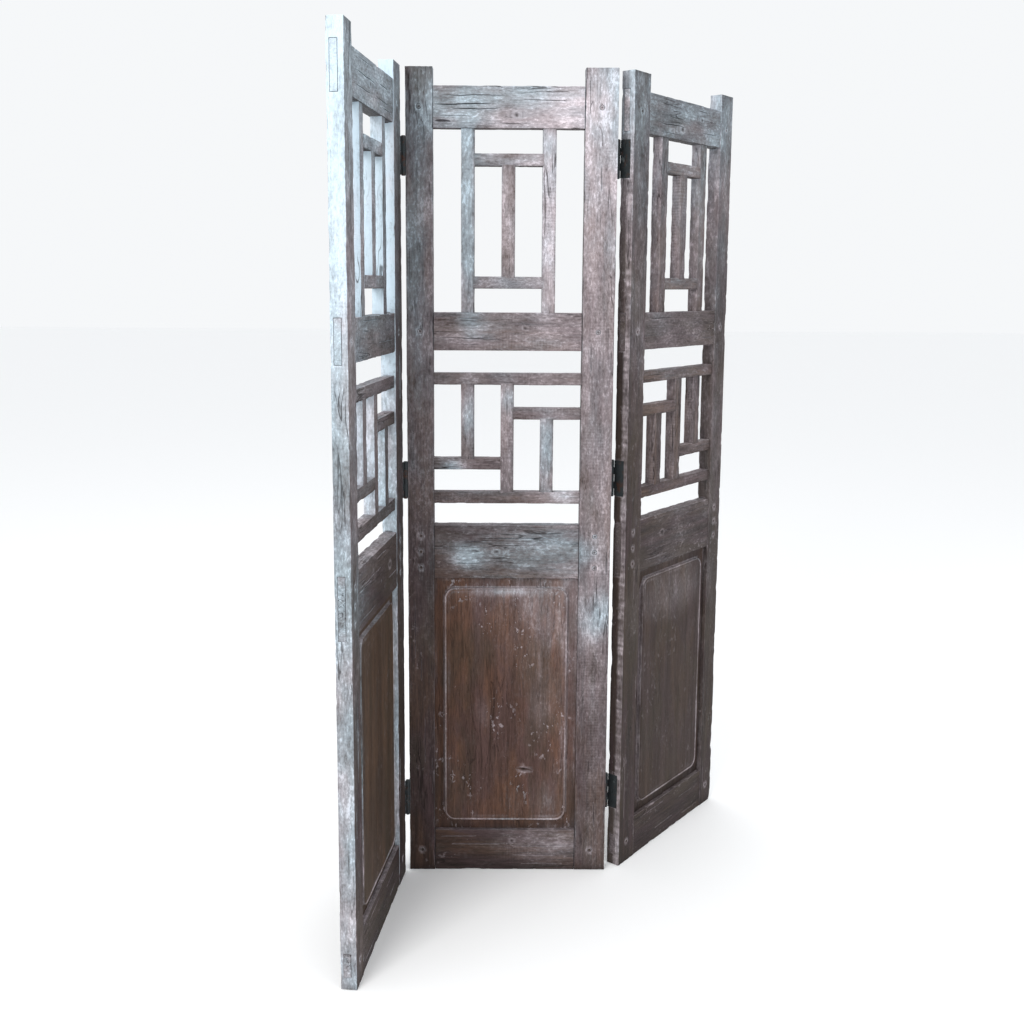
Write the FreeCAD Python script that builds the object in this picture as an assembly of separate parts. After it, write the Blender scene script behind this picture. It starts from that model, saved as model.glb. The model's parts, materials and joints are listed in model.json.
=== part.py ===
import FreeCAD, Part
import math
import os

Vector = FreeCAD.Vector
UP = Vector(0, 0, 1)
BACKWARD = Vector(0, 1, 0)

# A folding screen of three framed leaves, standing in a zigzag. Millimetres.
# The centre leaf faces -Y. The left leaf swings forward and the right leaf swings back.
# The origin is under the middle of the centre leaf, on the floor.

# ---- the leaf ----
leaf_width = 452.0
leaf_height = 1800.0
leaf_thickness = 33.0
horn_height = 38.0                # stile left standing above the top rail

top_rail_height = 88.0
mid_rail_height = 83.0
lock_rail_height = 122.0
bottom_rail_height = 98.0
panel_share = 0.436               # the panel's part of the height left between the rails

left_leaf_stiles = (57.0, 66.0)   # width of the free stile, then of the hinge stile
centre_leaf_stiles = (59.0, 71.0)
right_leaf_stiles = (67.0, 58.0)

# ---- joints of the frame ----
rail_reveal = 1.0                 # how far a rail's face lies behind the stile's
tenon_setback = 12.0              # from the leaf's front to the tenon's cheek
tenon_thickness = 14.0
bottom_tenon_inset = 25.0         # cut off the bottom rail's tenon above and below
peg_diameter = 10.0
lock_rail_peg_spacing = 36.0

# ---- the field panel ----
groove_setback = 11.0
groove_width = 9.0
groove_depth = 8.0
panel_slack = 1.0                 # room for the panel to swell in its groove
field_border = 22.0               # flat margin between the frame and the raised field
field_corner_radius = 25.0
field_setback = 3.5               # from the leaf's face to the raised field
field_bevel = 2.5

# ---- the bars of the two open fields ----
upright_bar_width = 30.0
level_bar_height = 27.0
bar_depth = 25.0
side_bar_offset = 74.0            # from a stile to the middle of the bar beside it
window_bar_offset = 64.0          # from a rail to the middle of the window's cross bar
fret_outer_offset = 61.5          # from a rail to the middle of the fret's long bar
fret_inner_offset = 137.5         # from a rail to the middle of the fret's short bar
stub_length = 8.0
stub_thickness = 9.0
stub_shoulder = 4.0
stub_slack = 1.0                  # room left past the end of a stub tenon

# ---- the hinges ----
leaf_gap = 6.5                    # between two leaves when the screen is flat
pin_stand_off = 4.2               # from the leaf's face to the middle of the pin
corner_clearance = 0.5            # between the barrel and the corners of the stiles
left_fold_angle = 83.0            # how far each leaf stands from the flat screen
right_fold_angle = 52.0
hinge_height = 80.0
knuckle_count = 5
knuckle_gap = 0.3
plate_thickness = 2.0
plate_width = 24.0
pin_diameter = 4.8
pin_running_clearance = 0.05
pin_head_diameter = 8.0
pin_head_height = 1.5
top_hinge_drop = 18.0             # from the top rail down to the top hinge
middle_hinge_rise = 62.0          # from the lock rail up to the middle hinge
bottom_hinge_rise = 42.0          # from the bottom rail up to the bottom hinge

# ---- the hinge screws ----
screws_per_plate = 3
screw_end_margin = 12.0
screw_head_diameter = 8.0
screw_shank_diameter = 3.8
screw_length = 22.0
screw_slot_width = 1.0
screw_slot_depth = 0.8

# ---- heights and depths worked out from the sizes above ----
front = -leaf_thickness / 2
back = leaf_thickness / 2
rail_front = front + rail_reveal
rail_back = back - rail_reveal
tenon_front = front + tenon_setback
tenon_back = tenon_front + tenon_thickness
groove_front = front + groove_setback
groove_back = groove_front + groove_width
bar_front = -bar_depth / 2
bar_back = bar_depth / 2

rails_height = top_rail_height + mid_rail_height + lock_rail_height + bottom_rail_height
open_height = leaf_height - horn_height - rails_height
panel_bottom = bottom_rail_height
panel_top = panel_bottom + panel_share * open_height
fret_bottom = panel_top + lock_rail_height
fret_top = fret_bottom + (open_height - (panel_top - panel_bottom)) / 2
window_bottom = fret_top + mid_rail_height
window_top = leaf_height - horn_height - top_rail_height

hinge_bottoms = (
    bottom_rail_height + bottom_hinge_rise,
    fret_bottom + middle_hinge_rise,
    window_top - top_hinge_drop - hinge_height,
)
barrel_radius = math.hypot(leaf_gap / 2, pin_stand_off) - corner_clearance
hinge_offset = (leaf_width + leaf_gap) / 2
left_pin = Vector(-hinge_offset, front - pin_stand_off, 0)
right_pin = Vector(hinge_offset, back + pin_stand_off, 0)


def block(left, right, near, far, bottom, top):
    """A box between two values on each axis."""
    return Part.makeBox(right - left, far - near, top - bottom, Vector(left, near, bottom))


def joined(pieces):
    """Fuse a list of touching solids into one."""
    whole = pieces[0].fuse(pieces[1:])
    return whole.removeSplitter()


def without(piece, tools):
    """Cut every tool out of a piece."""
    return piece.cut(tools).removeSplitter()


# ---- the frame ----
def rail(left, right, bottom, top):
    return block(left, right, rail_front, rail_back, bottom, top)


def tenon(left, right, bottom, top):
    """One bar of wood through a rail, which shows as a tenon past each of its ends."""
    return block(left, right, tenon_front, tenon_back, bottom, top)


def peg(x, z):
    start = Vector(x, front, z)
    return Part.makeCylinder(peg_diameter / 2, leaf_thickness, start, BACKWARD)


def peg_heights():
    top_rail_middle = window_top + top_rail_height / 2
    mid_rail_middle = fret_top + mid_rail_height / 2
    lock_rail_middle = panel_top + lock_rail_height / 2
    bottom_rail_middle = bottom_rail_height / 2
    return (
        top_rail_middle,
        mid_rail_middle,
        lock_rail_middle + lock_rail_peg_spacing,
        lock_rail_middle,
        lock_rail_middle - lock_rail_peg_spacing,
        bottom_rail_middle,
    )


# ---- the field panel ----
def panel_board(left, right, reach):
    """The panel's flat board, reaching past the opening into the groove."""
    return block(left - reach, right + reach, groove_front, groove_back,
                 panel_bottom - reach, panel_top + reach)


def raised_field(left, right, near, far, bevelled_y):
    """A thick middle for the panel, with round corners and a bevelled rim."""
    field = block(left + field_border, right - field_border, near, far,
                  panel_bottom + field_border, panel_top - field_border)
    corners = [edge for edge in field.Edges
               if abs(edge.tangentAt(edge.FirstParameter).y) > 0.5]
    field = field.makeFillet(field_corner_radius, corners)
    rim = [edge for edge in field.Edges
           if abs(edge.BoundBox.YMin - bevelled_y) < 0.01
           and abs(edge.BoundBox.YMax - bevelled_y) < 0.01]
    return field.makeChamfer(field_bevel, rim)


def field_panel(left, right):
    face_front = front + field_setback
    face_back = back - field_setback
    front_field = raised_field(left, right, face_front, groove_front, face_front)
    back_field = raised_field(left, right, groove_back, face_back, face_back)
    return joined([panel_board(left, right, groove_depth), front_field, back_field])


# ---- bars with stub tenons ----
def upright_bar(x, bottom, top):
    half = upright_bar_width / 2
    bar = block(x - half, x + half, bar_front, bar_back, bottom, top)
    return joined([bar, upright_stub(x, bottom, top, 0)])


def upright_stub(x, bottom, top, slack):
    """The stub tenons of an upright bar, or with slack the mortises that take them."""
    half = upright_bar_width / 2 - stub_shoulder
    reach = stub_length + slack
    return block(x - half, x + half, -stub_thickness / 2, stub_thickness / 2,
                 bottom - reach, top + reach)


def level_bar(left, right, z):
    half = level_bar_height / 2
    bar = block(left, right, bar_front, bar_back, z - half, z + half)
    return joined([bar, level_stub(left, right, z, 0)])


def level_stub(left, right, z, slack):
    """The stub tenons of a level bar, or with slack the mortises that take them."""
    half = level_bar_height / 2 - stub_shoulder
    reach = stub_length + slack
    return block(left - reach, right + reach, -stub_thickness / 2, stub_thickness / 2,
                 z - half, z + half)


def window_bars(left, right):
    """Two long uprights, two cross bars between them, and a middle bar between those."""
    low = window_bottom + window_bar_offset
    high = window_top - window_bar_offset
    side_places = (left + side_bar_offset, right - side_bar_offset)
    cross_left = side_places[0] + upright_bar_width / 2
    cross_right = side_places[1] - upright_bar_width / 2
    middle = (left + right) / 2
    centre_bottom = low + level_bar_height / 2
    centre_top = high - level_bar_height / 2

    cross_mortises = [level_stub(cross_left, cross_right, z, stub_slack) for z in (low, high)]
    centre_mortise = upright_stub(middle, centre_bottom, centre_top, stub_slack)
    sides = [without(upright_bar(x, window_bottom, window_top), cross_mortises)
             for x in side_places]
    crosses = [without(level_bar(cross_left, cross_right, z), [centre_mortise])
               for z in (low, high)]
    centre = upright_bar(middle, centre_bottom, centre_top)
    rail_mortises = [upright_stub(x, window_bottom, window_top, stub_slack)
                     for x in side_places]
    bars = {
        "window_side_bars": sides,
        "window_cross_bars": crosses,
        "window_centre_bar": [centre],
    }
    return bars, rail_mortises


def fret_bars(left, right, low_side):
    """The fret: two long bars, a centre post, and a short bar and post on each side.

    low_side is -1 where the low short bar is at the left, and 1 where it is at the right.
    """
    half_upright = upright_bar_width / 2
    half_level = level_bar_height / 2
    outer_low = fret_bottom + fret_outer_offset
    outer_high = fret_top - fret_outer_offset
    inner_low = fret_bottom + fret_inner_offset
    inner_high = fret_top - fret_inner_offset
    middle = (left + right) / 2
    left_span = (left, middle - half_upright)
    right_span = (middle + half_upright, right)
    left_post = left + side_bar_offset
    right_post = right - side_bar_offset
    if low_side < 0:
        low_span, high_span = left_span, right_span
        low_post, high_post = left_post, right_post
    else:
        low_span, high_span = right_span, left_span
        low_post, high_post = right_post, left_post

    centre_ends = (outer_low + half_level, outer_high - half_level)
    over_low_ends = (inner_low + half_level, outer_high - half_level)
    under_high_ends = (outer_low + half_level, inner_high - half_level)
    centre_mortise = upright_stub(middle, *centre_ends, stub_slack)
    over_low_mortise = upright_stub(low_post, *over_low_ends, stub_slack)
    under_high_mortise = upright_stub(high_post, *under_high_ends, stub_slack)
    low_mortise = level_stub(*low_span, inner_low, stub_slack)
    high_mortise = level_stub(*high_span, inner_high, stub_slack)

    bars = {
        "fret_top_bar": [without(level_bar(left, right, outer_high),
                                 [centre_mortise, over_low_mortise])],
        "fret_bottom_bar": [without(level_bar(left, right, outer_low),
                                    [centre_mortise, under_high_mortise])],
        "fret_centre_post": [without(upright_bar(middle, *centre_ends),
                                     [low_mortise, high_mortise])],
        "fret_low_bar": [without(level_bar(*low_span, inner_low), [over_low_mortise])],
        "fret_high_bar": [without(level_bar(*high_span, inner_high), [under_high_mortise])],
        "fret_short_posts": [upright_bar(low_post, *over_low_ends),
                             upright_bar(high_post, *under_high_ends)],
    }
    stile_mortises = [
        level_stub(left, right, outer_high, stub_slack),
        level_stub(left, right, outer_low, stub_slack),
        low_mortise,
        high_mortise,
    ]
    return bars, stile_mortises


# ---- one leaf, in the flat screen ----
def leaf(outer_left, stile_widths, stile_names, low_side):
    """Every wooden piece of one leaf, by name."""
    outer_right = outer_left + leaf_width
    left = outer_left + stile_widths[0]
    right = outer_right - stile_widths[1]

    rail_heights = {
        "top_rail": (window_top, window_top + top_rail_height),
        "mid_rail": (fret_top, window_bottom),
        "lock_rail": (panel_top, fret_bottom),
        "bottom_rail": (0.0, panel_bottom),
    }
    tenons = {}
    for name, (bottom, top) in rail_heights.items():
        inset = bottom_tenon_inset if name == "bottom_rail" else 0.0
        tenons[name] = tenon(outer_left, outer_right, bottom + inset, top - inset)

    peg_places = (outer_left + stile_widths[0] / 2, outer_right - stile_widths[1] / 2)
    pegs = [peg(x, z) for x in peg_places for z in peg_heights()]
    window, rail_mortises = window_bars(left, right)
    fret, stile_mortises = fret_bars(left, right, low_side)
    groove = panel_board(left, right, groove_depth + panel_slack)

    pieces = {}
    stile_tools = list(tenons.values()) + stile_mortises + pegs + [groove]
    stile_spans = ((outer_left, left), (right, outer_right))
    for name, (start, end) in zip(stile_names, stile_spans):
        stile = block(start, end, front, back, 0.0, leaf_height)
        pieces[name] = [without(stile, stile_tools)]
    for name, (bottom, top) in rail_heights.items():
        whole = joined([rail(left, right, bottom, top), tenons[name]])
        pieces[name] = [without(whole, pegs + rail_mortises + [groove])]
    pieces["field_panel"] = [field_panel(left, right)]
    pieces["pegs"] = pegs
    pieces.update(window)
    pieces.update(fret)
    return pieces


# ---- one hinge about the pin, with its plates reaching back along +Y ----
def knuckle_spans():
    pitch = (hinge_height + knuckle_gap) / knuckle_count
    return [(n * pitch, (n + 1) * pitch - knuckle_gap) for n in range(knuckle_count)]


def screw_heights():
    step = (hinge_height - 2 * screw_end_margin) / (screws_per_plate - 1)
    return [screw_end_margin + n * step for n in range(screws_per_plate)]


def hinge_screw(side, z):
    """A countersunk screw, driven away from the pin into a stile's edge."""
    inward = Vector(side, 0, 0)
    start = Vector(side * leaf_gap / 2, pin_stand_off + plate_width / 2, z)
    head = Part.makeCone(screw_head_diameter / 2, screw_shank_diameter / 2,
                         plate_thickness, start, inward)
    shank = Part.makeCylinder(screw_shank_diameter / 2, screw_length, start, inward)
    return joined([head, shank])


def slotted(screw, side, z):
    near_face = side * leaf_gap / 2
    slot_floor = near_face + side * screw_slot_depth
    middle = pin_stand_off + plate_width / 2
    slot = block(min(near_face, slot_floor), max(near_face, slot_floor),
                 middle - screw_slot_width / 2, middle + screw_slot_width / 2,
                 z - screw_head_diameter / 2, z + screw_head_diameter / 2)
    return screw.cut(slot)


def plate_block(side, near, far, bottom, top):
    inner = side * leaf_gap / 2
    outer = side * (leaf_gap / 2 + plate_thickness)
    return block(min(inner, outer), max(inner, outer), near, far, bottom, top)


def hinge_plate(side, spans, bore_radius):
    """A plate and the knuckles rolled on it, with its screw holes."""
    plate = plate_block(side, pin_stand_off, pin_stand_off + plate_width, 0.0, hinge_height)
    pieces = [plate]
    bores = []
    for bottom, top in spans:
        start = Vector(0, 0, bottom)
        pieces.append(plate_block(side, 0.0, pin_stand_off, bottom, top))
        pieces.append(Part.makeCylinder(barrel_radius, top - bottom, start, UP))
        bores.append(Part.makeCylinder(bore_radius, top - bottom, start, UP))
    screws = [hinge_screw(side, z) for z in screw_heights()]
    return without(joined(pieces), bores + screws)


def hinge_pin():
    shaft = Part.makeCylinder(pin_diameter / 2, hinge_height, Vector(0, 0, 0), UP)
    heads = [Part.makeCylinder(pin_head_diameter / 2, pin_head_height, Vector(0, 0, z), UP)
             for z in (-pin_head_height, hinge_height)]
    return joined([shaft] + heads)


def hinge_line(pin, half_turn):
    """The three hinges of one joint, standing at the pin.

    The centre leaf's plates are on the pin's +X side, until the hinge is turned half round.
    """
    spans = knuckle_spans()
    fixed_side, moving_side = 1, -1
    tight_bore = pin_diameter / 2
    running_bore = tight_bore + pin_running_clearance
    one_hinge = {
        "fixed_plates": [hinge_plate(fixed_side, spans[0::2], tight_bore)],
        "moving_plates": [hinge_plate(moving_side, spans[1::2], running_bore)],
        "pins": [hinge_pin()],
        "fixed_screws": [slotted(hinge_screw(fixed_side, z), fixed_side, z)
                         for z in screw_heights()],
        "moving_screws": [slotted(hinge_screw(moving_side, z), moving_side, z)
                          for z in screw_heights()],
        "fixed_recesses": [plate_block(fixed_side, pin_stand_off,
                                       pin_stand_off + plate_width, 0.0, hinge_height)],
        "moving_recesses": [plate_block(moving_side, pin_stand_off,
                                        pin_stand_off + plate_width, 0.0, hinge_height)],
    }
    line = {}
    for name, solids in one_hinge.items():
        line[name] = []
        for bottom in hinge_bottoms:
            for solid in solids:
                copy = solid.copy()
                if half_turn:
                    copy.rotate(Vector(0, 0, 0), UP, 180)
                copy.translate(pin + Vector(0, 0, bottom))
                line[name].append(copy)
    return line


def let_in(pieces, stile_name, recesses, screws):
    """Cut the plates' recesses and the screws' holes into a stile."""
    pieces[stile_name] = [without(pieces[stile_name][0], recesses + screws)]


def swung(solids, pin, angle):
    """Turn a leaf's pieces about its pin, from the flat screen to where they stand."""
    turned = []
    for solid in solids:
        copy = solid.copy()
        copy.rotate(pin, UP, angle)
        turned.append(copy)
    return turned


def write(node, solids):
    shape = solids[0] if len(solids) == 1 else Part.makeCompound(solids)
    shape.exportStep("parts/" + node + ".step")


def main():
    os.makedirs("parts", exist_ok=True)
    leaf_pitch = leaf_width + leaf_gap
    centre_left = -leaf_width / 2
    left_hinges = hinge_line(left_pin, half_turn=False)
    right_hinges = hinge_line(right_pin, half_turn=True)

    left_leaf = leaf(centre_left - leaf_pitch, left_leaf_stiles,
                     ("free_stile", "hinge_stile"), low_side=-1)
    centre_leaf = leaf(centre_left, centre_leaf_stiles,
                       ("left_stile", "right_stile"), low_side=-1)
    right_leaf = leaf(centre_left + leaf_pitch, right_leaf_stiles,
                      ("hinge_stile", "free_stile"), low_side=1)

    let_in(left_leaf, "hinge_stile", left_hinges["moving_recesses"],
           left_hinges["moving_screws"])
    let_in(centre_leaf, "left_stile", left_hinges["fixed_recesses"],
           left_hinges["fixed_screws"])
    let_in(centre_leaf, "right_stile", right_hinges["fixed_recesses"],
           right_hinges["fixed_screws"])
    let_in(right_leaf, "hinge_stile", right_hinges["moving_recesses"],
           right_hinges["moving_screws"])

    left_leaf["hinge_plates"] = left_hinges["moving_plates"]
    left_leaf["hinge_screws"] = left_hinges["moving_screws"]
    right_leaf["hinge_plates"] = right_hinges["moving_plates"]
    right_leaf["hinge_screws"] = right_hinges["moving_screws"]
    centre_leaf["left_hinge_plates"] = left_hinges["fixed_plates"]
    centre_leaf["left_hinge_pins"] = left_hinges["pins"]
    centre_leaf["right_hinge_plates"] = right_hinges["fixed_plates"]
    centre_leaf["right_hinge_pins"] = right_hinges["pins"]
    centre_leaf["hinge_screws"] = left_hinges["fixed_screws"] + right_hinges["fixed_screws"]

    for name, solids in centre_leaf.items():
        write("centre_leaf_" + name, solids)
    for name, solids in left_leaf.items():
        write("left_leaf_" + name, swung(solids, left_pin, left_fold_angle))
    for name, solids in right_leaf.items():
        write("right_leaf_" + name, swung(solids, right_pin, right_fold_angle))


main()
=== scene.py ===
# %% [markdown]
# # A folding screen in worn, whitewashed teak
#
# Three framed leaves stand in a zigzag. Each leaf has an open window and an open
# fret above a solid panel. The wood is old: its arrises are soft, it has dried and
# split along the grain, and a thin white paint is rubbed into it. We build every
# timber from a cube, wear it down, and paint it with a procedural finish.
#
# The imported model gives every size and place, so we load it first.

# %% Load the imported screen
import json
import math
import random

import bmesh
import bpy
import numpy as np
from mathutils import Matrix, Vector

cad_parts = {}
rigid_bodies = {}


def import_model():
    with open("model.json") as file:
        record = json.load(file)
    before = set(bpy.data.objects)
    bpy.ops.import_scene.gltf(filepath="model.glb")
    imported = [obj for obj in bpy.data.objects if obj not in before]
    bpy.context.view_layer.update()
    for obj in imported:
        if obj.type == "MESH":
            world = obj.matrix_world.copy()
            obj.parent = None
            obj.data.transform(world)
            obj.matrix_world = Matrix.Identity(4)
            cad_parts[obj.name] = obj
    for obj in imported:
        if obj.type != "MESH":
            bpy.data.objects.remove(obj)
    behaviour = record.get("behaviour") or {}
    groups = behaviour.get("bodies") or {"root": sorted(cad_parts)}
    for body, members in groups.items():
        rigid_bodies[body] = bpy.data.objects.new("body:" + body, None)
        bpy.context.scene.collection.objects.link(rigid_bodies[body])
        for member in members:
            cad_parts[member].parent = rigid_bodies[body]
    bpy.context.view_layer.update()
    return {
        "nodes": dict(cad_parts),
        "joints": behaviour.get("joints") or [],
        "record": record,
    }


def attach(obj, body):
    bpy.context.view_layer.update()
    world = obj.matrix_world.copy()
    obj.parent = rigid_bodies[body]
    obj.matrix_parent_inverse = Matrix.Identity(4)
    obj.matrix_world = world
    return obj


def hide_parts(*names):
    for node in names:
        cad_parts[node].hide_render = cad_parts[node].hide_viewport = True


for leftover in list(bpy.data.objects):
    bpy.data.objects.remove(leftover)

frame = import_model()

# %% [markdown]
# ## Where the leaves stand
#
# The centre leaf is parallel to the X axis. The outer leaves are swung about their
# hinge pins. Shaping a timber at an angle is awkward, so we first work as if the
# screen were flat, with every leaf parallel to X, and swing each finished piece into
# place. A hinge's lower limit is the flat screen, so the limit tells us the angle.

# %% The pin and the swing of each leaf
swings = {"centre_leaf": (Vector((0.0, 0.0, 0.0)), 0.0)}
for joint in frame["joints"]:
    flat_limit = math.radians(joint["range_deg"][0])
    swings[joint["child"]] = (Vector(joint["pos_m"]), -flat_limit)
print("swings", {leaf: round(math.degrees(angle), 1) for leaf, (pin, angle) in swings.items()})


def leaf_of(node):
    return next(leaf for leaf in swings if node.startswith(leaf))


def swing_matrix(leaf):
    """Takes a leaf's pieces from the flat screen to where they stand."""
    pin, angle = swings[leaf]
    return Matrix.Translation(pin) @ Matrix.Rotation(angle, 4, "Z") @ Matrix.Translation(-pin)


def flat_points(node):
    """The node's points, with its leaf swung flat."""
    back = swing_matrix(leaf_of(node)).inverted()
    return np.array([back @ vertex.co for vertex in frame["nodes"][node].data.vertices])


def flat_box(node):
    points = flat_points(node)
    return Vector(points.min(0)), Vector(points.max(0))


def flat_halves(node, axis):
    """The boxes of the two solids in a node, which lie either side of its middle."""
    points = flat_points(node)
    middle = (points[:, axis].min() + points[:, axis].max()) / 2
    sides = (points[points[:, axis] < middle], points[points[:, axis] >= middle])
    return [(Vector(side.min(0)), Vector(side.max(0))) for side in sides]


def runs(values, gap):
    """Groups sorted numbers into runs that lie closer together than the gap."""
    ordered = np.unique(np.round(values, 5))
    breaks = np.where(np.diff(ordered) > gap)[0]
    starts = [ordered[0]] + [ordered[i + 1] for i in breaks]
    ends = [ordered[i] for i in breaks] + [ordered[-1]]
    return list(zip(starts, ends))


# %% [markdown]
# ## Tools for shaping a timber
#
# A board begins as a cube at its full size. In edit mode we divide it into cells a few
# millimetres across, fine enough to carry wear. The cells are longer along the grain,
# because wood changes slowly that way. A bevel then takes the sharpness off the arrises.

# %% Start a board and divide it into cells
most_cuts = 9


def clear_selection():
    if bpy.context.object and bpy.context.object.mode != "OBJECT":
        bpy.ops.object.mode_set(mode="OBJECT")
    bpy.ops.object.select_all(action="DESELECT")


def pick(piece):
    clear_selection()
    piece.select_set(True)
    bpy.context.view_layer.objects.active = piece


def cube_between(name, low, high):
    clear_selection()
    bpy.ops.mesh.primitive_cube_add(size=1, location=(low + high) / 2, scale=high - low)
    board = bpy.context.object
    board.name = name
    bpy.ops.object.transform_apply()
    return board


def select_where(piece, kind, chosen):
    """In edit mode, select the edges or faces that pass a test, and nothing else."""
    bpy.ops.mesh.select_mode(type=kind)
    bpy.ops.mesh.select_all(action="DESELECT")
    mesh = bmesh.from_edit_mesh(piece.data)
    for part in mesh.edges if kind == "EDGE" else mesh.faces:
        part.select_set(chosen(part))
    bmesh.update_edit_mesh(piece.data)


def runs_along(axis):
    """The test for edges that run along an axis."""
    def chosen(edge):
        run = edge.verts[1].co - edge.verts[0].co
        return abs(run[axis]) > 0.99 * run.length
    return chosen


def divide(board, cells):
    """Subdivide the edges along each axis until none is longer than its cell."""
    size = board.dimensions.copy()
    bpy.ops.object.mode_set(mode="EDIT")
    for axis, cell in enumerate(cells):
        length = size[axis]
        while length > cell:
            cuts = min(math.ceil(length / cell) - 1, most_cuts)
            select_where(board, "EDGE", runs_along(axis))
            bpy.ops.mesh.subdivide(number_cuts=cuts)
            length = length / (cuts + 1)
    bpy.ops.object.mode_set(mode="OBJECT")


def apply_modifier(piece, modifier):
    bpy.context.view_layer.objects.active = piece
    bpy.ops.object.modifier_apply(modifier=modifier.name)


def ease_arrises(board, width, segments=2):
    bevel = board.modifiers.new("eased", "BEVEL")
    bevel.width = width
    bevel.segments = segments
    bevel.limit_method = "ANGLE"
    bevel.angle_limit = math.radians(40)
    apply_modifier(board, bevel)


# %% [markdown]
# ## Wear
#
# Wear only takes wood away. A displace modifier with its middle level at 1 moves the
# surface inwards and never outwards, so the timber stays inside its packed size. The
# noise is read through an empty that we stretch along the grain: a tall empty gives
# tall ridges. A slow waviness and fine ridges between the hard and soft rings come
# first, while the corners are still square, and then the arrises are eased.
#
# Chips bite the arrises only. A push along the surface normals would fold a rounded
# arris over on itself, so we push each side of the board straight in along its own
# axis, on a group of points whose weight fades away from the arris.

# %% Wear textures and the guide that stretches them
def wear_noise(name, detail, contrast=1.0, brightness=1.0):
    noise = bpy.data.textures.new(name, "CLOUDS")
    noise.noise_scale = 1.0
    noise.noise_depth = detail
    noise.contrast = contrast
    noise.intensity = brightness
    noise.use_clamp = True
    return noise


soft_noise = wear_noise("soft noise", 2)
ridge_noise = wear_noise("ridge noise", 1, 1.5)
chip_noise = wear_noise("chip noise", 2, 2.6, 1.55)
guide = bpy.data.objects.new("grain_guide", None)
bpy.context.scene.collection.objects.link(guide)
chance = random.Random(7)
waviness = 0.0007
ridge_depth = 0.0005
chip_reach = 0.0045


def stretched(along, across, length):
    """Feature sizes on X, Y and Z for a grain that runs along the given axis."""
    sizes = [across, across, across]
    sizes[along] = length
    return sizes


def place_guide(feature_sizes):
    guide.scale = feature_sizes
    guide.location = [chance.uniform(-3, 3) for axis in range(3)]
    bpy.context.view_layer.update()


def wear(board, texture, depth, direction="NORMAL", group=""):
    """Pushes the surface in by up to the depth; a negative depth pushes the other way."""
    pass_of_wear = board.modifiers.new("wear", "DISPLACE")
    pass_of_wear.texture = texture
    pass_of_wear.texture_coords = "OBJECT"
    pass_of_wear.texture_coords_object = guide
    pass_of_wear.direction = direction
    pass_of_wear.mid_level = 1.0
    pass_of_wear.strength = depth
    pass_of_wear.vertex_group = group
    apply_modifier(board, pass_of_wear)


def wear_along(board, texture, depth, along, across_size, along_size):
    """Wear with features of the given sizes across and along the grain."""
    place_guide(stretched(along, across_size, along_size))
    wear(board, texture, depth)


def chip_arrises(board, along, low, high, depth):
    points = np.array([vertex.co for vertex in board.data.vertices])
    sides = [axis for axis in range(3) if axis != along]
    place_guide(stretched(along, 0.011, 0.032))
    for axis in sides:
        other = sides[1] if axis == sides[0] else sides[0]
        from_other = np.minimum(points[:, other] - low[other], high[other] - points[:, other])
        for end, sign in ((low, -1), (high, 1)):
            away = np.maximum(np.abs(points[:, axis] - end[axis]), from_other)
            weights = np.clip(1 - away / chip_reach, 0, 1)
            group = board.vertex_groups.new(name="arris")
            for index in np.where(weights > 0)[0]:
                group.add([int(index)], float(weights[index]), "REPLACE")
            wear(board, chip_noise, sign * depth, "XYZ"[axis], group.name)
            board.vertex_groups.clear()


def weather(board, along, low, high, arris=0.0015, chips=0.0032):
    wear_along(board, soft_noise, waviness, along, 0.06, 0.30)
    wear_along(board, ridge_noise, ridge_depth, along, 0.010, 0.16)
    ease_arrises(board, arris)
    chip_arrises(board, along, low, high, chips)


# %% [markdown]
# ## Cutting with other solids
#
# Mortises, peg holes, hinge recesses and drying cracks are all cut by subtracting
# another closed solid. Several cutters are joined into one object first, so that each
# board needs only one or two cuts.

# %% Cutters
def join(pieces):
    clear_selection()
    for piece in pieces:
        piece.select_set(True)
    bpy.context.view_layer.objects.active = pieces[0]
    if len(pieces) > 1:
        bpy.ops.object.join()
    return bpy.context.object


def combine(board, tools, operation):
    """Subtract from, or add to, the board. The tools must not overlap each other."""
    if not tools:
        return
    tool = join(tools)
    pick(board)
    change = board.modifiers.new("change", "BOOLEAN")
    change.operation = operation
    change.solver = "MANIFOLD"
    change.object = tool
    apply_modifier(board, change)
    bpy.data.objects.remove(tool)


def rod_through(x, z, radius, low_y, high_y, sides=20):
    """A cutter for a round hole that runs from front to back."""
    clear_selection()
    bpy.ops.mesh.primitive_cylinder_add(vertices=sides, radius=radius, depth=high_y - low_y,
                                        location=(x, (low_y + high_y) / 2, z),
                                        rotation=(math.radians(90), 0, 0))
    rod = bpy.context.object
    bpy.ops.object.transform_apply()
    return rod


# %% [markdown]
# A drying crack is a long, thin, canoe-shaped hollow. A sphere stretched along the grain
# cuts one, with its poles at the ends so that they come to a point. Real cracks wander,
# because they follow the fibres, so soft noise pushes the cutter a little to one side.

# %% Cracks
def hollow(centre, half_sizes, turn=(0, 0, 0), rings=6):
    clear_selection()
    bpy.ops.mesh.primitive_uv_sphere_add(segments=8, ring_count=rings, radius=1,
                                         location=centre, scale=half_sizes, rotation=turn)
    cut = bpy.context.object
    bpy.ops.object.transform_apply()
    return cut


def crack(start, along, length, width, depth, wander=0.006):
    """One wandering hollow from a start point on a board's face."""
    middle = Vector(start)
    middle[along] += length / 2
    turn = (0, math.radians(90), 0) if along == 0 else (0, 0, 0)
    cut = hollow(middle, (width / 2, depth, length / 2), turn, 22)
    place_guide((0.045, 0.045, 0.045))
    wear(cut, soft_noise, chance.choice((-1, 1)) * wander, "XYZ"[2 - along])
    return cut


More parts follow.
